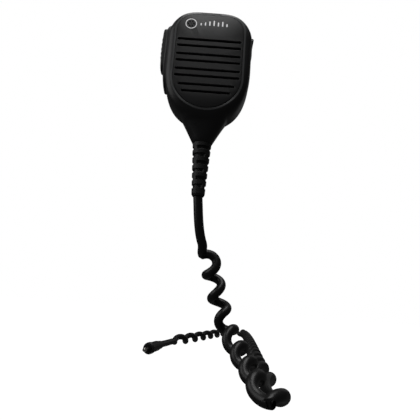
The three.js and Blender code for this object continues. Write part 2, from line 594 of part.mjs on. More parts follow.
function makeClip() {
  const middle = (clip.top + clip.bottom) / 2;
  const outline = roundedRectangle(2 * clip.halfWidth, clip.top - clip.bottom, clip.cornerRadius, 0, middle);
  const pad = roundedRectangle(
    2 * clip.padHalfWidth, clip.padTop - clip.padBottom, 2, 0, (clip.padTop + clip.padBottom) / 2);
  let jaw = join(plate(outline, clipFront, -clip.padHeight, 5), plate(pad, -2 * clip.padHeight, 0));
  for (const side of [-1, 1]) {
    const [from, to] = [clip.halfWidth - clip.earWidth, clip.halfWidth].map((x) => side * x).sort((a, b) => a - b);
    jaw = jaw.add(clipEar(from, to));
  }
  const pinHole = rod(clip.pinRadius + gap, -far, far, 'x', [0, clip.pinY, clip.pinZ], coarse);
  const screwHole = rod(swivel.screwRadius + gap, clipFront - 1, 1, 'y', [0, 0, swivel.z]);
  const counterbore = rod(swivel.headRadius + gap, swivel.headBack - swivel.headDepth - gap, 1, 'y', [0, 0, swivel.z]);
  add('clip_body', cut(jaw, pinHole, screwHole, counterbore), finishes.shell);

  const knuckleHalf = clip.halfWidth - clip.earWidth - gap;
  const [innerY, outerY] = [clip.leverInnerY, clip.leverInnerY + clip.leverThickness];
  const profile = new THREE.Shape();
  profile.moveTo(clip.jawReach, clip.bottom + 1);
  profile.lineTo(outerY - 2, clip.bottom - 1);
  profile.absarc(outerY - 2, clip.bottom + 1, 2, -Math.PI / 2, 0);
  profile.lineTo(outerY, clip.pinZ);
  profile.lineTo(outerY + 1.6, clip.leverTop - 1);
  profile.lineTo(outerY - 0.4, clip.leverTop);
  profile.lineTo(innerY, clip.pinZ + clip.earRadius);
  profile.lineTo(innerY, clip.bottom + clip.jawHeight + 4);
  profile.lineTo(clip.jawReach, clip.bottom + clip.jawHeight);
  const knuckle = rod(clip.earRadius - 1, -knuckleHalf, knuckleHalf, 'x', [0, clip.pinY, clip.pinZ]);
  const window = box([-springHalf - gap, -far, clip.pinZ - clip.earRadius], [springHalf + gap, far, clip.pinZ + clip.earRadius]);
  const lever = cut(join(sidePlate(profile, -knuckleHalf, knuckleHalf), knuckle), window, pinHole);
  add('clip_lever', lever, finishes.shell);
  const pinHalf = clip.halfWidth - 0.2;
  add('clip_pin', rod(clip.pinRadius, -pinHalf, pinHalf, 'x', [0, clip.pinY, clip.pinZ], coarse), finishes.steel);
}

const springHalf = spring.turns * spring.pitch / 2 + spring.wire;

function makeSpring() {
  const points = [];
  const stepsPerTurn = 12;
  const legAngle = -Math.PI / 2;
  const count = spring.turns * stepsPerTurn;
  for (let i = 0; i <= count; i++) {
    const angle = legAngle + 2 * Math.PI * i / stepsPerTurn;
    points.push([
      (i / count - 0.5) * spring.turns * spring.pitch,
      clip.pinY + spring.radius * Math.sin(angle),
      clip.pinZ + spring.radius * Math.cos(angle),
    ]);
  }
  add('clip_spring', tube(points, 2 * spring.wire, count, 6), finishes.steel);
}

function makeBoot() {
  const top = neck.end - gap;
  const profile = [[cord.diameter / 2 + gap, boot.flangeTop], [boot.flangeRadius, boot.flangeTop],
    [boot.flangeRadius, boot.flangeTop - boot.flangeThickness], [boot.sleeve, boot.flangeTop - boot.flangeThickness],
    [boot.sleeve, top], [boot.topRadius, top]];
  const pitch = (top - boot.end) / (boot.ribs + 0.6);
  for (let rib = 0; rib < boot.ribs; rib++) {
    const z = top - pitch * (rib + 0.8);
    const radius = THREE.MathUtils.mapLinear(z, top, boot.end, boot.topRadius, boot.endRadius);
    profile.push([radius, z + boot.groove], [radius - boot.grooveDepth, z + boot.groove * 0.8],
      [radius - boot.grooveDepth, z - boot.groove * 0.8], [radius, z - boot.groove]);
  }
  profile.push([boot.endRadius, boot.end], [cord.diameter / 2 + gap, boot.end], profile[0]);
  add('cord_boot', turned(profile, 'z', [0, head.axisY, 0], 16), finishes.rubber);
  const innerTop = clamp.top + 1.5;
  add('cord_inner', rod(cord.diameter / 2, boot.end, innerTop, 'z', [0, head.axisY, 0], coarse), finishes.cord);

  const [x, y] = [clamp.halfWidth, clamp.halfDepth];
  const block = box([-x, head.axisY - y, clamp.top - clamp.height], [x, head.axisY + y, clamp.top]);
  const passage = rod(cord.diameter / 2 + gap, -far, far, 'z', [0, head.axisY, 0]);
  const split = box([-far, head.axisY - 0.4, -far], [0, head.axisY + 0.4, far]);
  add('cord_clamp', cut(block, passage, split), finishes.steel);
  return innerTop;
}

function makeWires(cordTop) {
  const boardY = boardFront - gap - wire.radius;
  const ends = [['cord_wire_audio', -1.5, finishes.redWire], ['cord_wire_speaker', 0, finishes.whiteWire], ['cord_wire_ground', 1.5, finishes.insulator]];
  for (const [name, x, material] of ends) {
    const route = [[x, head.axisY, cordTop + gap], [x, head.axisY, cordTop + 2.5], [x * 2, head.axisY + 1, cordTop + 5],
      [x * 3, boardY, cordTop + 8], [x * 3, boardY, cordTop + 11]];
    add(name, tube(route, 2 * wire.radius, 8, 6), material);
  }
  const lug = speakerFront + speaker.gasket + gap + 1.2 + gap + wire.radius;
  for (const [name, x, material] of [['speaker_wire_red', 8, finishes.redWire], ['speaker_wire_black', -8, finishes.insulator]]) {
    const z = speaker.z - speaker.radius * 0.86;
    const route = [[x, lug, z], [x, lug + 3, z - 1.6], [x, boardY - 2.5, z - 2.2], [x, boardY, z - 0.4], [x, boardY, z + 3]];
    add(name, tube(route, 2 * wire.radius, 8, 6), material);
  }
}

function makeCord() {
  // The lead leans from its very start, so its square end is let down by as much as it leans.
  const [first, second] = leadRoute;
  const lean = Math.hypot(second[0] - first[0], second[1] - first[1]) / (first[2] - second[2]);
  const lead = shortened(leadRoute, cord.diameter / 2 * lean, gap);
  add('cord_lead', tube(lead, cord.diameter, 20, 8), finishes.cord);
  add('cord_curl', tube(shortened(curlRoute, gap, gap), cord.curlDiameter, 64, 10), finishes.cord);
  add('cord_tail', tube(shortened(tailRoute, gap, gap), cord.diameter, 24, 8), finishes.cord);
}

// The plug is made along +X, then turned and laid along the cord's last straight, which runs
// through its boot.
function makePlug() {
  const [start, end] = tailRoute.slice(-2).map((point) => new THREE.Vector3(...point));
  const heading = Math.atan2(end.y - start.y, end.x - start.x);
  const place = new THREE.Matrix4().makeRotationZ(heading)
    .premultiply(new THREE.Matrix4().makeTranslation(start.x, start.y, 0));
  const centre = [0, 0, cordEndZ];
  const put = (name, solid, material) => {
    const mesh = new THREE.Mesh(toGeometry(solid).applyMatrix4(place), material);
    mesh.name = name;
    microphone.add(mesh);
  };

  const boreRadius = cord.diameter / 2 + gap;
  const bodyFrom = plug.bootLength;
  const nutFrom = bodyFrom + plug.bodyLength;
  const face = nutFrom + plug.nutLength;
  const chamfered = (radius, from, to, bore) => turned([
    [bore, from], [radius - plug.bodyEdge, from], [radius, from + plug.bodyEdge], [radius, to - plug.bodyEdge],
    [radius - plug.bodyEdge, to], [bore, to], [bore, from]], 'x', centre, fine);
  put('plug_boot', turned([
    [boreRadius, gap], [plug.bootEndRadius, gap], [plug.bootRadius, bodyFrom - gap],
    [boreRadius, bodyFrom - gap], [boreRadius, gap]], 'x', centre, fine), finishes.rubber);
  put('plug_body', chamfered(plug.bodyRadius, bodyFrom, nutFrom - gap, 0), finishes.shell);
  put('plug_nut', chamfered(plug.nutRadius, nutFrom, face, plug.collarRadius + gap), finishes.grille);
  put('plug_collar', ring(
    plug.pinRadius + gap, plug.collarRadius, nutFrom, face + plug.collarLength, 'x', centre, coarse),
  finishes.insulator);

  const tipFrom = face + plug.pinLength * 0.72;
  const frontInsulator = tipFrom - gap - plug.insulatorLength;
  const bandFrom = frontInsulator - gap - plug.bandLength;
  const rearInsulator = bandFrom - gap - plug.insulatorLength;
  const pinPart = (name, from, to, material) =>
    put(name, rod(plug.pinRadius, from, to, 'x', centre, coarse), material);
  pinPart('plug_sleeve', nutFrom, rearInsulator - gap, finishes.nickel);
  pinPart('plug_insulator_rear', rearInsulator, bandFrom - gap, finishes.insulator);
  pinPart('plug_band', bandFrom, frontInsulator - gap, finishes.nickel);
  pinPart('plug_insulator_front', frontInsulator, tipFrom - gap, finishes.insulator);
  const [waistShare, lobeShare, pointShare] = [0.62, 0.95, 0.35];
  put('plug_tip', turned([
    [0, tipFrom], [plug.pinRadius * lobeShare, tipFrom],
    [plug.pinRadius * waistShare, tipFrom + plug.pinLength * 0.1],
    [plug.pinRadius * lobeShare, tipFrom + plug.pinLength * 0.17],
    [plug.pinRadius * pointShare, face + plug.pinLength], [0, face + plug.pinLength]],
  'x', centre, coarse), finishes.nickel);
}

makeShells();
makeGrille();
makeSpeaker();
makeMicrophoneCapsule();
makeBoard();
makeTalkButton();
makeEarJack();
makeSwivel();
makeClip();
makeSpring();
makeWires(makeBoot());
makeCord();
makePlug();

export default microphone;
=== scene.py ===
import math

import bpy
import numpy as np
from mathutils import Matrix, Vector


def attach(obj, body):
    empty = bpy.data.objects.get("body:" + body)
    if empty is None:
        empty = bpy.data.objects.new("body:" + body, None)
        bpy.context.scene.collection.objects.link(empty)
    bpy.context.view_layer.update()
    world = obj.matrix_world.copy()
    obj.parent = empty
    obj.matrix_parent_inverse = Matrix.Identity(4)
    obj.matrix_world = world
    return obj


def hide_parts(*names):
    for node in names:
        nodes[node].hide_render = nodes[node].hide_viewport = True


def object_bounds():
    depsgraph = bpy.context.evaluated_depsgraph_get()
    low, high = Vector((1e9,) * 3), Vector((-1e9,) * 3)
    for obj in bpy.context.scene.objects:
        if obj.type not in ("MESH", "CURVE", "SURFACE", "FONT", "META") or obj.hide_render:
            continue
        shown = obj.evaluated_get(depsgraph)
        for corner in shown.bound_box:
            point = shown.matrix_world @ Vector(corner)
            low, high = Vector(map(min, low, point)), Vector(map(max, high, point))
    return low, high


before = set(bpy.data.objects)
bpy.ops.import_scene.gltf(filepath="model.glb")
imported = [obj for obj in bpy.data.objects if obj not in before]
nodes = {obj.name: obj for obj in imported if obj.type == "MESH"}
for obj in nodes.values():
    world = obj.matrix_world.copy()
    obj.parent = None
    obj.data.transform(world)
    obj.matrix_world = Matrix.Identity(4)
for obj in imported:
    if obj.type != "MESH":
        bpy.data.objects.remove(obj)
cadBox = [list(corner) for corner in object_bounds()]
print("frame loaded with", len(nodes), "nodes")

# Lengths below are in millimetres, in the part's own axes: +Z up, the grille faces -Y.
mm = 0.001


# camera, floor and lights

view = {
    "place": (8.35, -266.92, -172.59), "lens": 34.286, "sensor": 36,
    "tiltUp": 13.5, "lean": 4.145,
}


def makeCamera():
    tilt, lean = math.radians(view["tiltUp"]), math.radians(view["lean"])
    forward = np.array([0, math.cos(tilt), math.sin(tilt)])
    upright = np.array([0, -math.sin(tilt), math.cos(tilt)])
    side = np.array([1.0, 0, 0])
    right = side * math.cos(lean) + upright * math.sin(lean)
    up = upright * math.cos(lean) - side * math.sin(lean)
    camera = bpy.data.objects.new("camera", bpy.data.cameras.new("camera"))
    camera.data.lens, camera.data.sensor_width = view["lens"], view["sensor"]
    camera.data.clip_start, camera.data.clip_end = 0.01, 20
    turn = Matrix([list(row) for row in np.column_stack([right, up, -forward])])
    camera.matrix_world = Matrix.Translation(np.array(view["place"]) * mm) @ turn.to_4x4()
    bpy.context.scene.collection.objects.link(camera)
    bpy.context.scene.camera = camera


studio = {
    "floor": 6.0, "floorGlow": 1.0, "floorBounce": 0.05, "backdrop": 1.0, "surround": 0.035,
    "lamps": {
        "keyLeft": {"place": (-0.9, -0.25, 0.35), "size": 0.9, "power": 2.2},
        "topSoft": {"place": (0.1, -0.1, 1.0), "size": 0.8, "power": 4.0},
        "frontHigh": {"place": (-0.12, -0.62, 0.85), "size": 0.35, "power": 1.5},
        "rimBack": {"place": (0.6, 0.9, 0.4), "size": 0.8, "power": 0.25},
    },
    "aim": (0.0, -0.02, -0.06),
}


def newMaterial(name):
    material = bpy.data.materials.new(name)
    material.use_nodes = True
    material.node_tree.nodes.clear()
    return material


def addNode(tree, kind, values=None, **settings):
    # A socket given as a value is linked, and anything else is set on the input itself.
    made = tree.nodes.new(kind)
    for key, value in settings.items():
        setattr(made, key, value)
    for socket, value in (values or {}).items():
        if isinstance(value, bpy.types.NodeSocket):
            tree.links.new(value, made.inputs[socket])
        else:
            made.inputs[socket].default_value = value
    return made


def makeStudio():
    floorHeight = cadBox[0][2]
    half = studio["floor"] / 2
    mesh = bpy.data.meshes.new("floor")
    corners = [(-half, -half), (half, -half), (half, half), (-half, half)]
    mesh.from_pydata([(x, y, floorHeight - 0.0002) for x, y in corners], [], [(0, 1, 2, 3)])
    floor = bpy.data.objects.new("floor", mesh)
    bpy.context.scene.collection.objects.link(floor)
    paper = newMaterial("paleFloor")
    tree = paper.node_tree
    seen = addNode(tree, "ShaderNodeLightPath")
    glow = addNode(tree, "ShaderNodeMath", {0: seen.outputs["Is Camera Ray"], 1: studio["floorGlow"],
                                            2: studio["floorBounce"]}, operation="MULTIPLY_ADD")
    surface = addNode(tree, "ShaderNodeEmission", {"Strength": glow.outputs[0]})
    addNode(tree, "ShaderNodeOutputMaterial", {"Surface": surface.outputs[0]})
    mesh.materials.append(paper)

    world = bpy.data.worlds.new("studioAir")
    world.use_nodes = True
    air = world.node_tree
    air.nodes.clear()
    worldOut = air.nodes.new("ShaderNodeOutputWorld")
    seen = air.nodes.new("ShaderNodeLightPath")
    mix = air.nodes.new("ShaderNodeMixShader")
    for index, strength in enumerate([studio["surround"], studio["backdrop"]]):
        glow = air.nodes.new("ShaderNodeBackground")
        glow.inputs["Color"].default_value = (1, 1, 1, 1)
        glow.inputs["Strength"].default_value = strength
        air.links.new(glow.outputs[0], mix.inputs[index + 1])
    air.links.new(seen.outputs["Is Camera Ray"], mix.inputs["Fac"])
    air.links.new(mix.outputs[0], worldOut.inputs["Surface"])
    bpy.context.scene.world = world

    aim = np.array(studio["aim"])
    for name, lamp in studio["lamps"].items():
        data = bpy.data.lights.new(name, "AREA")
        data.shape, data.size, data.energy = "DISK", lamp["size"], lamp["power"]
        light = bpy.data.objects.new(name, data)
        light.location = lamp["place"]
        toward = aim - np.array(lamp["place"])
        light.rotation_mode = "QUATERNION"
        light.rotation_quaternion = Vector(toward).to_track_quat("-Z", "Y")
        light.visible_camera = False
        bpy.context.scene.collection.objects.link(light)
    bpy.context.scene.view_settings.view_transform = "Standard"


makeCamera()
makeStudio()
print("camera, floor and lights are set")

# surfaces


def addPiece(name, points, faces, sharpAngle=35.0):
    # Points in millimetres. The faces are turned round when their signed volume is negative.
    points = np.asarray(points, float)
    quads = np.asarray(faces[0]).reshape(-1, 4)
    fans = np.asarray(faces[1]).reshape(-1, 3) if len(faces[1]) else np.zeros((0, 3), int)
    triangles = np.vstack([quads[:, [0, 1, 2]], quads[:, [0, 2, 3]], fans])
    a, b, c = (points[triangles[:, k]] for k in range(3))
    if np.einsum("ij,ij->i", a, np.cross(b, c)).sum() < 0:
        quads, fans = quads[:, ::-1], fans[:, ::-1]
    mesh = bpy.data.meshes.new(name)
    mesh.from_pydata((points * mm).tolist(), [], quads.tolist() + fans.tolist())
    mesh.shade_smooth()
    mesh.set_sharp_from_angle(angle=math.radians(sharpAngle))
    piece = bpy.data.objects.new(name, mesh)
    bpy.context.scene.collection.objects.link(piece)
    return piece


def loftRings(rings, closedAlong=False):
    # Rings is a rows x sides x 3 array of closed outlines. Neighbouring rings are joined with
    # quads, and an open end is closed with a fan to the middle of its ring.
    rows, sides = rings.shape[:2]
    points = rings.reshape(-1, 3)
    row, side = np.meshgrid(np.arange(rows if closedAlong else rows - 1), np.arange(sides), indexing="ij")
    after, beside = (row + 1) % rows, (side + 1) % sides
    quads = np.stack([row * sides + side, row * sides + beside,
                      after * sides + beside, after * sides + side], -1).reshape(-1, 4)
    if closedAlong:
        return points, (quads, [])
    points = np.vstack([points, rings[0].mean(0), rings[-1].mean(0)])
    around = np.arange(sides)
    nextAround = (around + 1) % sides
    last = (rows - 1) * sides
    first = np.stack([nextAround, around, np.full(sides, rows * sides)], -1)
    final = np.stack([last + around, last + nextAround, np.full(sides, rows * sides + 1)], -1)
    return points, (quads, np.vstack([first, final]))


# the cord: lead, curl and tail are one strand

cord = {
    "diameter": 6.0, "sides": 20, "step": 0.9,
    "radius": [4.4, 4.0, 3.3, 2.6, 2.5, 3.2, 3.3, 3.1, 2.9], "startAngle": -125,
    "turns": [3.61, 1.7, 1.47, 1.0, 1.4, 14.0, 2.0, 6.0], "joinBefore": 10, "joinAfter": 22,
    "lead": [
        (0, -20.5, -105.5), (0.6, -20.3, -111), (1.3, -19.8, -117.6), (2.2, -19, -124),
        (3.4, -18, -129.8), (4.9, -16.6, -134.4), (6.8, -14.6, -138.2)],
    "curl": [
        [(9, -11.4, -141.6), (11.8, -4.6, -148.2), (16.3, 1.8, -162.6), (21.3, 3.2, -177)],
        [(26.3, -6, -188.8), (30.5, -25.4, -196.2)],
        [(33.6, -46.4, -201.4), (35.2, -64, -204.4)],
        [(36, -76, -206.8), (39.8, -85.2, -209.8), (44.6, -79.5, -210.8)],
        [(45.6, -66, -210.8), (45.6, -52, -210.6), (45.9, -36, -210.3)],
        [(47.2, -5, -210), (49.2, 28, -210), (53.4, 78, -210), (59.6, 150, -210),
         (65.6, 222, -210), (70.2, 285, -210), (73.4, 345, -210), (73, 385, -210)],
        [(69.5, 404, -210), (60.5, 410, -210), (51, 397, -210)],
        [(39, 362, -210), (25, 317, -210), (11, 271, -210), (-3, 225, -210),
         (-15, 187, -210), (-21.6, 165, -210.6)]],
    "tail": [
        (-25.6, 151, -211.1), (-28.6, 141, -211.3), (-29.8, 133, -211.3),
        (-31.5, 121.7, -211.3)],
}


def smoothCurve(route, perSpan=24):
    # Centripetal Catmull-Rom through the points: each span is blended from its four neighbours,
    # with knots spaced by the square root of the distance. Route point i falls on row i x perSpan.
    route = np.array(route, float)
    padded = np.vstack([2 * route[0] - route[1], route, 2 * route[-1] - route[-2]])
    spans = []
    for p in (padded[i:i + 4] for i in range(len(route) - 1)):
        knot = np.r_[0, np.cumsum(np.sqrt(np.linalg.norm(np.diff(p, axis=0), axis=1)))]
        t = np.linspace(knot[1], knot[2], perSpan, endpoint=False)[:, None]

        def between(a, b, low, high):
            share = (t - knot[low]) / (knot[high] - knot[low])
            return (1 - share) * a + share * b
        a1, a2, a3 = (between(p[k], p[k + 1], k, k + 1) for k in range(3))
        b1, b2 = between(a1, a2, 0, 2), between(a2, a3, 1, 3)
        spans.append(between(b1, b2, 1, 2))
    return np.vstack(spans + [route[-1:]])


def evenly(points, step):  # the same line with its points a fixed distance apart
    along = np.r_[0, np.cumsum(np.linalg.norm(np.diff(points, axis=0), axis=1))]
    count = int(along[-1] / step)
    places = np.linspace(0, along[-1], count + 1)
    return np.stack([np.interp(places, along, points[:, k]) for k in range(3)], 1), places


def unit(vectors):
    return vectors / np.linalg.norm(vectors, axis=-1, keepdims=True)


def ramp(value, low, high):  # smooth step from 0 at low to 1 at high
    t = np.clip((value - low) / (high - low), 0, 1)
    return t * t * (3 - 2 * t)


def strandLine():
    # The axis runs through every route point. The strand turns round it at a radius that grows
    # from nothing along the lead and falls to nothing along the tail.
    perSpan = 24
    curlPoints = [p for stretch in cord["curl"] for p in stretch]
    axis = smoothCurve(cord["lead"] + curlPoints + cord["tail"], perSpan)
    counts = np.cumsum([len(cord["lead"])] + [len(stretch) for stretch in cord["curl"]])
    along = np.r_[0, np.cumsum(np.linalg.norm(np.diff(axis, axis=0), axis=1))]
    edges = along[counts * perSpan]
    edges[-1] = along[(counts[-1] - 1) * perSpan]  # the last turn ends where the tail starts
    axis, places = evenly(axis, 0.3)
    turns = np.interp(places, edges, np.r_[0, np.cumsum(cord["turns"])])
    radius = np.interp(places, edges, cord["radius"])
    radius = radius * ramp(places, edges[0] - cord["joinBefore"], edges[0])
    radius = radius * (1 - ramp(places, edges[-1] - cord["joinAfter"], edges[-1]))
    heading = unit(np.gradient(axis, axis=0))
    level = ramp(places, edges[1], edges[2])[:, None]
    guide = np.array([1.0, 0, 0]) * (1 - level) + np.array([0, 0, 1.0]) * level
    across = unit(np.cross(heading, guide))
    upward = np.cross(across, heading)
    angle = math.radians(cord["startAngle"]) - 2 * np.pi * turns
    outward = across * np.cos(angle)[:, None] + upward * np.sin(angle)[:, None]
    return axis + radius[:, None] * outward, outward


def makeTube(name, line, outward, diameter, sides):
    # A circle carried along the line, square to it, started from the outward direction.
    heading = unit(np.gradient(line, axis=0))
    first = unit(outward - heading * np.einsum("ij,ij->i", outward, heading)[:, None])
    second = np.cross(heading, first)
    angle = 2 * np.pi * np.arange(sides) / sides
    spread = first[:, None] * np.cos(angle)[:, None] + second[:, None] * np.sin(angle)[:, None]
    return addPiece(name, *loftRings(line[:, None] + spread * diameter / 2))


def makeCord():
    fine, outward = strandLine()
    line, places = evenly(fine, cord["step"])
    source = np.r_[0, np.cumsum(np.linalg.norm(np.diff(fine, axis=0), axis=1))]
    outward = unit(np.stack([np.interp(places, source, outward[:, k]) for k in range(3)], 1))
    piece = makeTube("curlyCord", line, outward, cord["diameter"], cord["sides"])
    return piece, line, places[-1]


curlyCord, cordLine, cordLength = makeCord()
print("cord length", round(cordLength, 1), "mm")
# materials: shared effects are node groups, each material keeps its own shader


def newGroup(name, inputs, outputs):
    # Each input is a name, a kind and a default, and each output a name and a kind.
    group = bpy.data.node_groups.new(name, "ShaderNodeTree")
    kinds = {"value": "NodeSocketFloat", "colour": "NodeSocketColor", "vector": "NodeSocketVector"}
    for title, kind, default in inputs:
        socket = group.interface.new_socket(title, in_out="INPUT", socket_type=kinds[kind])
        socket.default_value = default
    for title, kind in outputs:
        group.interface.new_socket(title, in_out="OUTPUT", socket_type=kinds[kind])
    source = group.nodes.new("NodeGroupInput")
    final = group.nodes.new("NodeGroupOutput")
    return group, source.outputs, final.inputs


def makeGrainGroup():
    # Mask = noise(object place x Scale). Normal = bump of that noise by Depth.
    group, given, final = newGroup(
        "mouldedGrain", [("Scale", "value", 1500.0), ("Depth", "value", 0.1)],
        [("Mask", "value"), ("Normal", "vector")])
    place = addNode(group, "ShaderNodeTexCoord")
    noise = addNode(group, "ShaderNodeTexNoise", {
        "Vector": place.outputs["Object"], "Scale": given["Scale"], "Detail": 3.0, "Roughness": 0.55})
    bump = addNode(group, "ShaderNodeBump", {
        "Height": noise.outputs[0], "Strength": given["Depth"], "Distance": 0.0002})
    group.links.new(noise.outputs[0], final["Mask"])
    group.links.new(bump.outputs["Normal"], final["Normal"])
    return group


def makeWearGroup():
    # Mask = ramp(1 - N.B) x noise, with B the normal rounded over Width. Colour is mixed by it.
    group, given, final = newGroup(
        "edgeWear", [("Base", "colour", (0.02, 0.02, 0.02, 1)), ("Worn", "colour", (0.1, 0.1, 0.1, 1)),
                     ("Width", "value", 0.0006), ("Amount", "value", 0.5)],
        [("Colour", "colour"), ("Mask", "value")])
    shape = addNode(group, "ShaderNodeNewGeometry")
    rounded = addNode(group, "ShaderNodeBevel", {"Radius": given["Width"]}, samples=4)
    facing = addNode(group, "ShaderNodeVectorMath", {
        0: shape.outputs["Normal"], 1: rounded.outputs[0]}, operation="DOT_PRODUCT")
    edge = addNode(group, "ShaderNodeMapRange", {
        "Value": facing.outputs["Value"], "From Min": 0.99, "From Max": 0.8, "To Min": 0.0, "To Max": 1.0})
    place = addNode(group, "ShaderNodeTexCoord")
    noise = addNode(group, "ShaderNodeTexNoise", {
        "Vector": place.outputs["Object"], "Scale": 260.0, "Detail": 5.0})
    patchy = addNode(group, "ShaderNodeMapRange", {
        "Value": noise.outputs[0], "From Min": 0.35, "From Max": 0.65})
    both = addNode(group, "ShaderNodeMath", {
        0: edge.outputs[0], 1: patchy.outputs[0]}, operation="MULTIPLY")
    mask = addNode(group, "ShaderNodeMath", {0: both.outputs[0], 1: given["Amount"]}, operation="MULTIPLY")
    mix = addNode(group, "ShaderNodeMix", {
        "Factor": mask.outputs[0], 6: given["Base"], 7: given["Worn"]}, data_type="RGBA")
    group.links.new(mix.outputs[2], final["Colour"])
    group.links.new(mask.outputs[0], final["Mask"])
    return group


def makeDustGroup():
    # Mask = max(N.z, 0) x noise x Amount. Colour is mixed towards Dust by it.
    group, given, final = newGroup(
        "restingDust", [("Base", "colour", (0.02, 0.02, 0.02, 1)), ("Dust", "colour", (0.3, 0.29, 0.27, 1)),
                        ("Scale", "value", 420.0), ("Amount", "value", 0.05)],
        [("Colour", "colour"), ("Mask", "value")])
    shape = addNode(group, "ShaderNodeNewGeometry")
    parts = addNode(group, "ShaderNodeSeparateXYZ", {0: shape.outputs["Normal"]})
    upward = addNode(group, "ShaderNodeMath", {0: parts.outputs["Z"], 1: 0.0}, operation="MAXIMUM")
    place = addNode(group, "ShaderNodeTexCoord")
    noise = addNode(group, "ShaderNodeTexNoise", {
        "Vector": place.outputs["Object"], "Scale": given["Scale"], "Detail": 4.0})
    speckle = addNode(group, "ShaderNodeMath", {
        0: upward.outputs[0], 1: noise.outputs[0]}, operation="MULTIPLY")
    mask = addNode(group, "ShaderNodeMath", {
        0: speckle.outputs[0], 1: given["Amount"]}, operation="MULTIPLY")
    mix = addNode(group, "ShaderNodeMix", {
        "Factor": mask.outputs[0], 6: given["Base"], 7: given["Dust"]}, data_type="RGBA")
    group.links.new(mix.outputs[2], final["Colour"])
    group.links.new(mask.outputs[0], final["Mask"])
    return group


def makeSmudgeGroup():
    # Roughness = Roughness + (noise - 0.5) x Variation, for handled and wiped patches.
    group, given, final = newGroup(
        "handledSmudge", [("Roughness", "value", 0.4), ("Variation", "value", 0.15),
                          ("Scale", "value", 55.0)],
        [("Roughness", "value")])
    place = addNode(group, "ShaderNodeTexCoord")
    noise = addNode(group, "ShaderNodeTexNoise", {
        "Vector": place.outputs["Object"], "Scale": given["Scale"], "Detail": 2.0, "Distortion": 0.6})
    centred = addNode(group, "ShaderNodeMath", {0: noise.outputs[0], 1: 0.5}, operation="SUBTRACT")
    result = addNode(group, "ShaderNodeMath", {
        0: centred.outputs[0], 1: given["Variation"], 2: given["Roughness"]}, operation="MULTIPLY_ADD")
    group.links.new(result.outputs[0], final["Roughness"])
    return group


def makeWeaveGroup():
    # Mask = |sin(x Scale)| |sin(z Scale)|, the crossing threads. Normal = bump of it by Depth.
    group, given, final = newGroup(
        "wovenThreads", [("Scale", "value", 7000.0), ("Depth", "value", 0.4)],
        [("Mask", "value"), ("Normal", "vector")])
    place = addNode(group, "ShaderNodeTexCoord")
    parts = addNode(group, "ShaderNodeSeparateXYZ", {0: place.outputs["Object"]})
    threads = []
    for axis in ("X", "Z"):
        phase = addNode(group, "ShaderNodeMath", {
            0: parts.outputs[axis], 1: given["Scale"]}, operation="MULTIPLY")
        wave = addNode(group, "ShaderNodeMath", {0: phase.outputs[0]}, operation="SINE")
        threads.append(addNode(group, "ShaderNodeMath", {0: wave.outputs[0]}, operation="ABSOLUTE"))
    mask = addNode(group, "ShaderNodeMath", {
        0: threads[0].outputs[0], 1: threads[1].outputs[0]}, operation="MULTIPLY")
    bump = addNode(group, "ShaderNodeBump", {
        "Height": mask.outputs[0], "Strength": given["Depth"], "Distance": 0.0002})
    group.links.new(mask.outputs[0], final["Mask"])
    group.links.new(bump.outputs["Normal"], final["Normal"])
    return group


groups = {
    "grain": makeGrainGroup(), "wear": makeWearGroup(), "dust": makeDustGroup(),
    "smudge": makeSmudgeGroup(), "weave": makeWeaveGroup(),
}

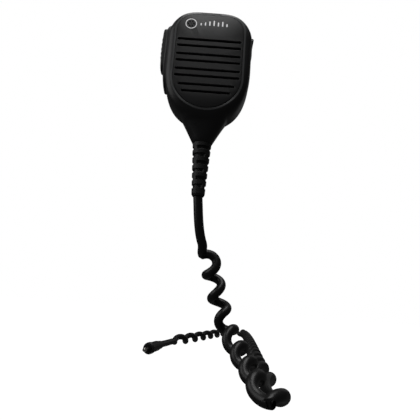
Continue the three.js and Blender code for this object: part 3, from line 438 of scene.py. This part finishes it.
surfaces = {
    "black_shell": {
        "colour": (0.0105, 0.011, 0.012), "worn": (0.05, 0.05, 0.052), "roughness": 0.4, "variation": 0.12,
        "grain": 2600.0, "depth": 0.16, "wear": 0.5, "dust": 0.04},
    "grille_plastic": {
        "colour": (0.0145, 0.015, 0.016), "worn": (0.06, 0.06, 0.062), "roughness": 0.46, "variation": 0.1,
        "grain": 2200.0, "depth": 0.12, "wear": 0.7, "dust": 0.05},
    "soft_rubber": {
        "colour": (0.012, 0.012, 0.0125), "worn": (0.04, 0.04, 0.04), "roughness": 0.55, "variation": 0.14,
        "grain": 1800.0, "depth": 0.2, "wear": 0.35, "dust": 0.08},
    "speaker_cloth": {
        "colour": (0.004, 0.004, 0.0043), "worn": (0.01, 0.01, 0.01), "roughness": 0.95, "variation": 0.04,
        "weave": 7000.0, "depth": 0.5, "wear": 0.0, "dust": 0.1},
    "cord_jacket": {
        "colour": (0.0085, 0.0085, 0.009), "worn": (0.03, 0.03, 0.03), "roughness": 0.36, "variation": 0.14,
        "grain": 1500.0, "depth": 0.12, "wear": 0.0, "dust": 0.05},
    "black_insulator": {
        "colour": (0.012, 0.012, 0.012), "worn": (0.04, 0.04, 0.04), "roughness": 0.3, "variation": 0.06,
        "grain": 900.0, "depth": 0.05, "wear": 0.2, "dust": 0.03},
    "black_wire": {
        "colour": (0.012, 0.012, 0.012), "worn": (0.04, 0.04, 0.04), "roughness": 0.35, "variation": 0.06,
        "grain": 900.0, "depth": 0.05, "wear": 0.0, "dust": 0.03},
    "red_wire": {
        "colour": (0.45, 0.02, 0.015), "worn": (0.5, 0.1, 0.08), "roughness": 0.35, "variation": 0.06,
        "grain": 900.0, "depth": 0.05, "wear": 0.0, "dust": 0.03},
    "white_wire": {
        "colour": (0.62, 0.62, 0.58), "worn": (0.5, 0.5, 0.45), "roughness": 0.35, "variation": 0.06,
        "grain": 900.0, "depth": 0.05, "wear": 0.0, "dust": 0.03},
    "board_green": {
        "colour": (0.015, 0.12, 0.045), "worn": (0.2, 0.25, 0.1), "roughness": 0.3, "variation": 0.08,
        "grain": 700.0, "depth": 0.05, "wear": 0.3, "dust": 0.05},
    "cone_paper": {
        "colour": (0.02, 0.018, 0.016), "worn": (0.05, 0.045, 0.04), "roughness": 0.9, "variation": 0.05,
        "grain": 1200.0, "depth": 0.4, "wear": 0.1, "dust": 0.08},
    "bright_steel": {
        "colour": (0.5, 0.51, 0.52), "worn": (0.72, 0.72, 0.72), "roughness": 0.32, "variation": 0.2,
        "grain": 1600.0, "depth": 0.06, "wear": 0.6, "dust": 0.04, "metal": 1.0},
    "nickel_plate": {
        "colour": (0.62, 0.6, 0.56), "worn": (0.75, 0.72, 0.66), "roughness": 0.2, "variation": 0.12,
        "grain": 1200.0, "depth": 0.03, "wear": 0.4, "dust": 0.03, "metal": 1.0},
    "brass_insert": {
        "colour": (0.6, 0.42, 0.16), "worn": (0.75, 0.6, 0.3), "roughness": 0.3, "variation": 0.15,
        "grain": 1400.0, "depth": 0.06, "wear": 0.5, "dust": 0.04, "metal": 1.0},
    "magnet_metal": {
        "colour": (0.12, 0.12, 0.125), "worn": (0.3, 0.3, 0.3), "roughness": 0.4, "variation": 0.15,
        "grain": 1100.0, "depth": 0.15, "wear": 0.5, "dust": 0.05, "metal": 1.0},
    # The print is white ink. Its glow is emission, a painted highlight that makes the marks brighter than the
    # lamps alone light them.
    "printed_ink": {
        "colour": (0.85, 0.86, 0.87), "worn": (0.5, 0.5, 0.5), "roughness": 0.55, "variation": 0.1,
        "grain": 3000.0, "depth": 0.1, "wear": 0.1, "dust": 0.0, "glow": 0.45},
    # The panel's sloping wall: the shell's black plastic painted lighter as a painted highlight, with some
    # real wear and dust.
    "rim_painted_highlight": {
        "colour": (0.11, 0.112, 0.115), "worn": (0.2, 0.2, 0.2), "roughness": 0.35, "variation": 0.1,
        "grain": 2400.0, "depth": 0.08, "wear": 0.3, "dust": 0.02},
}


def makeSurface(name, look):
    material = newMaterial(name)
    tree = material.node_tree

    def use(effect, values):
        return addNode(tree, "ShaderNodeGroup", values, node_tree=groups[effect]).outputs

    wear = use("wear", {"Base": (*look["colour"], 1), "Worn": (*look["worn"], 1), "Amount": look["wear"]})
    dust = use("dust", {"Base": wear["Colour"], "Amount": look["dust"]})
    smudge = use("smudge", {"Roughness": look["roughness"], "Variation": look["variation"]})
    kind, scale = ("weave", look["weave"]) if "weave" in look else ("grain", look["grain"])
    relief = use(kind, {"Scale": scale, "Depth": look["depth"]})
    # A look's glow becomes emission: painted light, with the part shining on its own though it is no lamp.
    shader = addNode(tree, "ShaderNodeBsdfPrincipled", {
        "Base Color": dust["Colour"], "Roughness": smudge["Roughness"], "Normal": relief["Normal"],
        "Metallic": look.get("metal", 0.0), "Emission Color": (1, 1, 1, 1),
        "Emission Strength": look.get("glow", 0.0)})
    addNode(tree, "ShaderNodeOutputMaterial", {"Surface": shader.outputs[0]})
    return material


materials = {name: makeSurface(name, look) for name, look in surfaces.items()}
print(len(materials), "materials made")


def finishPiece(piece, body, slotName, replaced=(), look=None):
    if not piece.data.materials:
        piece.data.materials.append(materials[look or slotName])
    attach(piece, body)
    if replaced:
        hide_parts(*replaced)
    return piece


finishPiece(curlyCord, "housing", "cord_jacket", ("cord_lead", "cord_curl", "cord_tail"))

# head: the outer skin is the set of points where a superellipse in x and y is 1, and its two
# half sizes change with z

head = {
    "halfWidth": 28.8, "top": 25.2, "axisY": -20.5, "front": 14.25, "rear": 14.25, "roundFrom": 5.0,
    "topPower": 2.1, "lowFrom": -15.0, "edgePower": 2.2,
    "low": -56.0, "corner": 2.5, "edgeRound": 9.0, "lowEdgeFrom": -38.0, "lowEdge": -60.0,
    "frontPower": 5.0, "rearPower": 4.0, "wall": 2.2, "parting": -14.5, "gasket": 0.9, "topFlat": 0.3,
    "neckTop": -50.0, "neckEnd": -69.5, "neckRadius": 6.4, "slope": 0.52, "depthSlope": 0.25,
    "cavityEnd": -57.0, "centre": -12.0, "sides": 256, "wallSeen": 0.8, "sideFrom": -30.5,
    "rearFaceFrom": -9.2, "sharp": 32.0,
}


def fall(t, power):  # (1 - t^p)^(1/p), from 1 down to 0 like a quarter of a superellipse
    return (1 - np.clip(t, 0, 1) ** power) ** (1 / power)


def skinAt(z, inset, rear):
    # Half width, half depth and power of the section at each height, and whether it is there.
    grow = np.where(z < head["neckTop"], 1.0, 0.0)
    up = (z - head["roundFrom"]) / (head["top"] - inset + head["topFlat"] - head["roundFrom"])
    down = (head["lowFrom"] - z) / (head["lowFrom"] - head["low"] - inset)
    width = (head["halfWidth"] - inset) * fall(up, head["topPower"]) * fall(down, head["corner"])
    cone = head["neckRadius"] - inset + head["slope"] * (z - head["neckEnd"])
    width = np.where(grow > 0, np.maximum(width, cone), width)
    depth = head["rear" if rear else "front"] - inset
    upEdge = (z - head["top"] + inset + head["edgeRound"]) / (head["edgeRound"] + head["topFlat"])
    downEdge = (head["lowEdgeFrom"] - z) / (head["lowEdgeFrom"] - head["lowEdge"] - inset)
    depth = depth * fall(upEdge, head["edgePower"]) * fall(downEdge, head["corner"])
    flatCone = head["neckRadius"] - inset + head["depthSlope"] * (z - head["neckEnd"])
    depth = np.where(grow > 0, np.maximum(depth, flatCone), depth)
    share = ramp(-z, -head["lowEdgeFrom"], -head["neckEnd"])
    power = head["rearPower" if rear else "frontPower"] * (1 - share) + 2 * share
    end = head["cavityEnd"] if inset > head["wallSeen"] else head["neckEnd"]
    present = (z < head["top"] - inset) & (z > end)
    return np.maximum(width, 1e-6), np.maximum(depth, 1e-6), power, present


def insideSkin(x, y, z, inset):  # |x / width|^n + |(y - axis) / depth|^n < 1
    inside = []
    for rear in (False, True):
        width, depth, power, present = skinAt(z, inset, rear)
        reached = np.abs(x / width) ** power + np.abs((y - head["axisY"]) / depth) ** power
        inside.append(present & (reached < 1))
    return np.where(y > head["axisY"], inside[1], inside[0])


def skinY(x, z, inset, rear):  # y = axis -+ depth (1 - |x / width|^n)^(1/n)
    width, depth, power, _ = skinAt(z, inset, rear)
    share = (1 - np.clip(np.abs(x / width), 0, 1) ** power) ** (1 / power)
    return head["axisY"] + (depth if rear else -depth) * share


def skinX(y, z, inset, rear=False):  # x = width (1 - |(y - axis) / depth|^n)^(1/n)
    width, depth, power, _ = skinAt(z, inset, rear)
    return width * (1 - np.clip(np.abs((y - head["axisY"]) / depth), 0, 1) ** power) ** (1 / power)


def reach(inside, angle, centre=(0.0, 0.0), most=120.0):
    # The furthest distance from the centre along each angle that is still inside, by halving.
    low, high = np.zeros_like(angle), np.full_like(angle, most)
    for _ in range(40):
        middle = (low + high) / 2
        held = inside(centre[0] + middle * np.cos(angle), centre[1] + middle * np.sin(angle))
        low, high = np.where(held, middle, low), np.where(held, high, middle)
    return low


panel = {
    "halfWidth": 22.4, "top": 19.0, "corner": 12.0, "arcCentre": -27.0, "front": -33.8, "back": -32.0,
    "ledge": 3.0, "ledgeBack": -30.2, "ledgeFront": -31.7, "rimFit": 0.3, "chamfer": 1.6,
    "edge": 0.35, "wallTop": -33.5,
}


def panelReach(x, z):
    # Signed distance to the panel's outline: an arc below its centre, a rounded box above it.
    arc = np.hypot(x, z - panel["arcCentre"]) - panel["halfWidth"]
    middle = (panel["top"] + panel["arcCentre"]) / 2 - panel["halfWidth"]
    half = panel["top"] - middle
    dx = np.abs(x) - panel["halfWidth"] + panel["corner"]
    dz = np.abs(z - middle) - half + panel["corner"]
    outer = np.hypot(np.maximum(dx, 0), np.maximum(dz, 0)) + np.minimum(np.maximum(dx, dz), 0)
    return np.where(z < panel["arcCentre"], arc, outer - panel["corner"])


headAngle = 2 * np.pi * (np.arange(head["sides"]) + 0.5) / head["sides"]
headCentre = (0.0, head["centre"])


def around(distance, y):  # ring of points at a distance from the middle of the face
    x, z = distance * np.cos(headAngle), head["centre"] + distance * np.sin(headAngle)
    return np.stack([x, np.broadcast_to(y, x.shape), z], -1)


def skinRing(y, inset):
    return around(reach(lambda x, z: insideSkin(x, y, z, inset), headAngle, headCentre), y)


def outlineRing(offset):
    return reach(lambda x, z: panelReach(x, z) < offset, headAngle, headCentre)


def faceRing(distance, inset, rear):
    x, z = distance * np.cos(headAngle), head["centre"] + distance * np.sin(headAngle)
    return around(distance, skinY(x, z, inset, rear))


def makeFrontShell():
    # Rings from the panel's ledge up the sloping wall, over the face, round the side to the
    # parting, and back along the inside. The last ring joins the first.
    sideFrom = head["sideFrom"]
    opening = outlineRing(panel["chamfer"])
    edge = reach(lambda x, z: insideSkin(x, sideFrom, z, 0), headAngle, headCentre)
    opening = np.minimum(opening, edge - 0.4)
    steps = np.sin(np.linspace(0, 1, 22) * np.pi / 2)[:-1]
    rings = [
        around(outlineRing(-panel["ledge"]), panel["ledgeBack"]),
        around(outlineRing(-panel["ledge"]), panel["ledgeFront"]),
        around(outlineRing(panel["rimFit"]), panel["ledgeFront"]),
        around(outlineRing(panel["rimFit"]), panel["wallTop"])]
    rings += [faceRing(opening + (edge - opening) * step, 0, False) for step in steps]
    rings += [skinRing(y, 0) for y in np.linspace(sideFrom, head["parting"], 20)]
    rings += [skinRing(y, head["wall"]) for y in np.linspace(head["parting"], panel["ledgeBack"] + 0.3, 8)]
    piece = addPiece("frontShell", *loftRings(np.array(rings), closedAlong=True), head["sharp"])
    # The sloping wall round the panel is the fourth band of faces. It gets a lighter colour than the shell: a
    # painted highlight where the wall catches the light.
    band = np.zeros(len(piece.data.polygons), int)
    band[3 * head["sides"]:4 * head["sides"]] = 1
    piece.data.materials.append(materials["black_shell"])
    piece.data.materials.append(materials["rim_painted_highlight"])
    piece.data.polygons.foreach_set("material_index", band)
    return piece


def makeRearShell():
    # Rings from the middle of the inside out to the parting, and back over the outside.
    faceFrom = head["rearFaceFrom"]
    start = head["parting"] + head["gasket"]
    edge = reach(lambda x, z: insideSkin(x, faceFrom, z, 0), headAngle, headCentre)
    inner = faceFrom - head["wall"]
    innerEdge = reach(lambda x, z: insideSkin(x, inner, z, head["wall"]), headAngle, headCentre)
    steps = np.sin(np.linspace(1, 0, 26) * np.pi / 2)[1:-1]
    rings = [faceRing(innerEdge * share, head["wall"], True) for share in (0.02, 0.5, 0.9)]
    rings += [skinRing(y, head["wall"]) for y in np.linspace(inner, start, 4)]
    rings += [skinRing(y, 0) for y in np.linspace(start, faceFrom, 10)]
    rings += [faceRing(edge * step, 0, True) for step in steps]
    return addPiece("rearShell", *loftRings(np.array(rings)), head["sharp"])


# flat pieces with shaped rims: rows of offset and height over an outline


def roundedBox(halfU, halfV, corner, middle=(0.0, 0.0)):
    def distance(u, v):  # signed distance to a rounded rectangle
        du, dv = np.abs(u - middle[0]) - halfU + corner, np.abs(v - middle[1]) - halfV + corner
        return np.hypot(np.maximum(du, 0), np.maximum(dv, 0)) + np.minimum(np.maximum(du, dv), 0) - corner
    return distance


def disc(radius, middle):
    return roundedBox(radius, radius, radius, middle)


# where u, v and the height go among x, y and z
sideways, frontways = (1, 2, 0), (0, 2, 1)


def stackRings(outline, rows, middle, plane, sides=96, closedAlong=False):
    # Each row is an offset from the outline and a height over the plane, which is a number or
    # a formula of u and v.
    angle = 2 * np.pi * (np.arange(sides) + 0.5) / sides
    rings = np.zeros((len(rows), sides, 3))
    for ring, (offset, height) in zip(rings, rows):
        distance = reach(lambda u, v: outline(u, v) < offset, angle, middle)
        u, v = middle[0] + distance * np.cos(angle), middle[1] + distance * np.sin(angle)
        ring[:, plane[0]] = u
        ring[:, plane[1]] = v
        ring[:, plane[2]] = height(u, v) if callable(height) else height
    return loftRings(rings, closedAlong)


def cutAway(piece, cutters):
    # Each cutter is taken away from the piece with an exact Boolean, which is applied.
    for cutter in cutters:
        step = piece.modifiers.new("cut", "BOOLEAN")
        step.operation, step.solver, step.object = "DIFFERENCE", "EXACT", cutter
    shaped = piece.evaluated_get(bpy.context.evaluated_depsgraph_get())
    mesh = bpy.data.meshes.new_from_object(shaped)
    piece.modifiers.clear()
    piece.data = mesh
    mesh.shade_smooth()
    mesh.set_sharp_from_angle(angle=math.radians(head["sharp"]))
    for cutter in cutters:
        bpy.data.objects.remove(cutter)


talkBar = {
    "z": -4.0, "y": -22.3, "length": 33.0, "depth": 10.6, "corner": 4.2, "face": -32.9, "frameWall": 2.0,
    "frameTail": 12.0, "frameProud": 1.4, "frameCorner": 5.2, "frameBack": -24.4, "roll": 1.08,
    "flat": 1.1, "lip": 0.35, "lipProud": 0.75, "frameSides": 128, "gap": 0.3, "back": -22.0, "crown": 0.9,
    "ribs": 5, "ribPitch": 3.4, "ribDepth": 0.28, "ribWidth": 1.15,
}


def talkOpening():
    half = (talkBar["depth"] / 2, talkBar["length"] / 2)
    return roundedBox(*half, talkBar["corner"], (talkBar["y"], talkBar["z"]))


def talkFrameOutline():
    wall = talkBar["frameWall"]
    high = talkBar["z"] + talkBar["length"] / 2 + wall
    low = talkBar["z"] - talkBar["length"] / 2 - wall - talkBar["frameTail"]
    half = (talkBar["depth"] / 2 + wall, (high - low) / 2)
    return roundedBox(*half, talkBar["frameCorner"], (talkBar["y"], (high + low) / 2))


def makeTalkFrame():
    # Ring between the bar's opening and the frame's outline. Its outer face stands frameProud
    # over the head's skin and rolls down to it along the rim.
    middle = (talkBar["y"], talkBar["z"])
    outline, opening = talkFrameOutline(), talkOpening()
    angle = 2 * np.pi * (np.arange(talkBar["frameSides"]) + 0.5) / talkBar["frameSides"]
    outer = reach(lambda y, z: outline(y, z) < 0, angle, middle)
    inner = reach(lambda y, z: opening(y, z) < talkBar["gap"], angle, middle)

    def ringAt(distance, share=None):  # on the flat back, or a share of frameProud over the skin
        y, z = middle[0] + distance * np.cos(angle), middle[1] + distance * np.sin(angle)
        if share is None:
            return np.stack([np.full_like(y, talkBar["frameBack"]), y, z], -1)
        return np.stack([-skinX(y, z, -talkBar["frameProud"] * share), y, z], -1)

    rings = [ringAt(outer)]
    for turn in np.linspace(0, np.pi / 2, 6):
        rings.append(ringAt(outer - talkBar["roll"] * (1 - np.cos(turn)), np.sin(turn)))
    for share in (0.35, 0.7, 1.0):
        start = outer - talkBar["flat"]
        rings.append(ringAt(start + (inner + talkBar["lip"] - start) * share, 1.0))
    rings += [ringAt(inner, talkBar["lipProud"]), ringAt(inner)]
    return addPiece("talkFrame", *loftRings(np.array(rings), closedAlong=True))


def makeTalkBar():
    # Its face bulges by crown (1 - (v / half)^2) and carries soft ribs across its middle.
    opening = talkOpening()
    middle = (talkBar["y"], talkBar["z"])
    half = talkBar["length"] / 2

    def face(u, v):
        along = (v - middle[1]) / half
        across = (u - middle[0]) / (talkBar["depth"] / 2)
        bulge = talkBar["crown"] * (1 - along ** 2) * (1 - 0.5 * across ** 2)
        rib = np.zeros_like(v)
        for place in (np.arange(talkBar["ribs"]) - (talkBar["ribs"] - 1) / 2) * talkBar["ribPitch"]:
            rib = rib + np.exp(-((v - middle[1] - place) / talkBar["ribWidth"] * 2) ** 2)
        inside = ramp(1 - np.abs(across), 0.05, 0.35)
        return talkBar["face"] + talkBar["crown"] - bulge - talkBar["ribDepth"] * rib * inside
    rows = [
        (0, talkBar["back"]), (0, lambda u, v: face(u, v) + 1.2), (-0.12, lambda u, v: face(u, v) + 0.6),
        (-0.45, lambda u, v: face(u, v) + 0.2), (-1.0, face)]
    rows += [(-offset, face) for offset in np.linspace(1.2, 5.1, 14)]
    return addPiece("talkBar", *stackRings(opening, rows, middle, sideways, 192))


jackCover = {
    "y": -22.3, "halfDepth": 4.5, "low": -6.2, "high": 8.2, "corner": 1.4, "pocketFloor": 26.4,
}


def jackOutline():
    half = (jackCover["high"] - jackCover["low"]) / 2
    middle = (jackCover["y"], (jackCover["high"] + jackCover["low"]) / 2)
    return roundedBox(jackCover["halfDepth"], half, jackCover["corner"], middle), middle


rearCuts = {
    "screws": ((17.6, 17.6), (-17.6, 17.6), (17.4, -41.8), (-17.4, -41.8)), "wellRadius": 2.8,
    "wellFloor": -9.4, "seatRadius": 11.8, "seatZ": 11.0, "seatFloor": -6.8, "outside": -2.0,
}


def makeHead():
    # The front shell loses the talk bar's opening and the jack cover's pocket, and the rear
    # shell its four screw wells and the round seat of the clip.
    front, rear = makeFrontShell(), makeRearShell()
    outline = talkFrameOutline()
    middle = (talkBar["y"], talkBar["z"])
    talkHole = addPiece("talkHole", *stackRings(outline, [(0.25, -45), (0.25, -23)], middle, sideways))
    jackShape, jackMiddle = jackOutline()
    rows = [(0.3, jackCover["pocketFloor"]), (0.3, 45)]
    jackHole = addPiece("jackHole", *stackRings(jackShape, rows, jackMiddle, sideways))
    cutAway(front, [talkHole, jackHole])
    wells = []
    for place in rearCuts["screws"]:
        ring = disc(rearCuts["wellRadius"], place)
        rows = [(0, rearCuts["wellFloor"]), (0, rearCuts["outside"])]
        wells.append(addPiece("screwWell", *stackRings(ring, rows, place, frontways, 48)))
    place = (0, rearCuts["seatZ"])
    seat = disc(rearCuts["seatRadius"], place)
    rows = [(0, rearCuts["seatFloor"]), (0, rearCuts["outside"])]
    wells.append(addPiece("clipSeat", *stackRings(seat, rows, place, frontways, 128)))
    cutAway(rear, wells)
    finishPiece(front, "housing", "black_shell", ("front_shell",))
    finishPiece(rear, "housing", "black_shell", ("rear_shell",))
    finishPiece(makeTalkFrame(), "housing", "soft_rubber", ("ptt_frame",), look="black_shell")
    finishPiece(makeTalkBar(), "ptt_button", "soft_rubber", ("ptt_button",))


makeHead()
print("head and talk bar made")

# grille panel with its slots, port and printed marks

slots = {
    "places": (-0.6, -5.45, -11.65, -16.5, -22.7, -27.55, -33.75, -38.6),
    "halfLengths": (21.3, 21.3, 21.3, 21.3, 21.3, 21.3, 18.3, 15.8), "half": 0.66, "chamfer": 0.35,
    "through": -31.0, "over": 0.3,
}
port = {"x": -13.3, "z": 11.4, "hole": 0.55, "ring": 1.9, "count": 6, "inkInner": 3.35, "inkOuter": 3.8}
marks = {
    "left": -6.6, "pitch": 2.9, "heights": (1.6, 2.4, 3.4, 4.2, 3.0, 3.8, 2.2), "z": 10.6, "half": 0.42,
    "thickness": 0.06, "lift": 0.001, "corner": 0.2,
}


def makeGrille():
    # A plate with a rolled rim, less a stadium for each slot and a ring of round holes.
    front, edge = panel["front"], panel["edge"]
    rows = [(0, panel["back"]), (0, front + edge), (-0.1, front + 0.1), (-edge, front)]
    rings = stackRings(panelReach, rows, headCentre, frontways, 256)
    plate = addPiece("grillePanel", *rings)
    cutters = []
    for z, length in zip(slots["places"], slots["halfLengths"]):
        rows = [
            (slots["chamfer"] + slots["over"], front - slots["over"]), (0, front + slots["chamfer"]),
            (0, slots["through"])]
        cutters.append(addPiece("slot", *loftRings(slotRings(length, z, rows))))
    for index in range(port["count"]):
        turn = 2 * np.pi * index / port["count"]
        place = (port["x"] + port["ring"] * math.cos(turn), port["z"] + port["ring"] * math.sin(turn))
        rings = stackRings(disc(port["hole"], place), [(0, -35), (0, slots["through"])], place, frontways, 24)
        cutters.append(addPiece("hole", *rings))
    cutAway(plate, cutters)
    finishPiece(plate, "housing", "grille_plastic", ("grille_panel",))


def slotRings(length, z, rows, endSides=12):
    # A stadium: half circles of radius half + offset at x = -+(length - half).
    turn = np.linspace(-np.pi / 2, np.pi / 2, endSides)
    rings = []
    for offset, y in rows:
        radius = slots["half"] + offset
        right = length - slots["half"] + radius * np.cos(turn)
        x = np.r_[right, -right]
        v = np.r_[radius * np.sin(turn), -radius * np.sin(turn)]
        rings.append(np.stack([x, np.full_like(x, y), z + v], -1))
    return np.array(rings)


def makeMarks():
    # A thin ring round the port and a row of upright bars, each a slab on the panel's face.
    front = panel["front"]
    raised = front - marks["thickness"]
    ring = []
    angle = 2 * np.pi * np.arange(96) / 96
    for radius, y in ((port["inkInner"], front - marks["lift"]), (port["inkOuter"], front - marks["lift"]),
                      (port["inkOuter"], raised), (port["inkInner"], raised)):
        ring.append(np.stack([port["x"] + radius * np.cos(angle), np.full(96, y),
                              port["z"] + radius * np.sin(angle)], -1))
    portRing = addPiece("portRing", *loftRings(np.array(ring), closedAlong=True))
    finishPiece(portRing, "housing", "grille_plastic", look="printed_ink")
    for index, height in enumerate(marks["heights"]):
        x = marks["left"] + index * marks["pitch"]
        middle = (x, marks["z"] + height / 2)
        shape = roundedBox(marks["half"], height / 2, marks["corner"], middle)
        rows = [(0, front - marks["lift"]), (0, raised)]
        bar = addPiece("levelBar" + str(index + 1), *stackRings(shape, rows, middle, frontways, 32))
        finishPiece(bar, "housing", "grille_plastic", look="printed_ink")


makeGrille()
makeMarks()
print("grille made")

# boot under the head

boot = {
    "top": -69.8, "end": -105.2, "topRadius": 6.2, "endRadius": 4.2, "bore": 3.3, "rows": 6,
    "grooveDepth": 1.15, "grooveHalf": 1.25, "rowFrom": 3.6, "pitch": 5.15, "sides": 96,
}


def makeBoot():
    # Radius = taper - groove depth x (notch along z) x (notch round the side): each row is cut on
    # both sides and left whole at the front and the back, and every other row is turned a quarter.
    angle = 2 * np.pi * np.arange(boot["sides"]) / boot["sides"]
    z = np.linspace(boot["top"], boot["end"], 150)
    z, turn = np.meshgrid(z, angle, indexing="ij")
    share = (boot["top"] - z) / (boot["top"] - boot["end"])
    radius = boot["topRadius"] + (boot["endRadius"] - boot["topRadius"]) * share
    for row in range(boot["rows"]):
        middle = boot["top"] - boot["rowFrom"] - row * boot["pitch"]
        along = 1 - ramp(np.abs(z - middle), boot["grooveHalf"] - 0.45, boot["grooveHalf"])
        side = np.abs(np.cos(turn + (row % 2) * np.pi / 2 + np.pi / 4))
        radius = radius - boot["grooveDepth"] * along * ramp(side, 0.25, 0.42)
    rim = 1 - ramp(share, 0.965, 1.0) * 0.12
    outer = np.stack([radius * rim * np.cos(turn), head["axisY"] + radius * rim * np.sin(turn), z], -1)
    bore = np.stack([boot["bore"] * np.cos(turn), head["axisY"] + boot["bore"] * np.sin(turn), z], -1)
    bore = bore[[-1, 0]]
    piece = addPiece("cordBoot", *loftRings(np.concatenate([outer, bore]), closedAlong=True), sharpAngle=50)
    finishPiece(piece, "housing", "soft_rubber", ("cord_boot",))


makeBoot()
print("boot made")

# everything that CAD already shapes well keeps its solid and takes its slot's material

carried = {
    "black_shell": "clip_base clip_body clip_lever plug_body",
    "grille_plastic": "plug_nut",
    "soft_rubber": "housing_gasket speaker_gasket mic_boot jack_cover plug_boot",
    "speaker_cloth": "grille_cloth",
    "bright_steel": "housing_screw_1 housing_screw_2 housing_screw_3 housing_screw_4 clip_base_screw_1 "
                    "clip_base_screw_2 swivel_screw clip_pin clip_spring jack_cover_pin speaker_frame "
                    "cord_clamp",
    "brass_insert": "swivel_insert",
    "cone_paper": "speaker_cone",
    "magnet_metal": "speaker_magnet",
    "board_green": "circuit_board",
    "nickel_plate": "mic_capsule ear_jack ptt_plunger plug_sleeve plug_band plug_tip",
    "black_insulator": "ptt_switch plug_collar plug_insulator_rear plug_insulator_front",
    "cord_jacket": "cord_inner",
    "red_wire": "cord_wire_audio speaker_wire_red",
    "white_wire": "cord_wire_speaker",
    "black_wire": "cord_wire_ground speaker_wire_black",
}
for slotName, names in carried.items():
    for name in names.split():
        nodes[name].data.materials.clear()
        nodes[name].data.materials.append(materials[slotName])
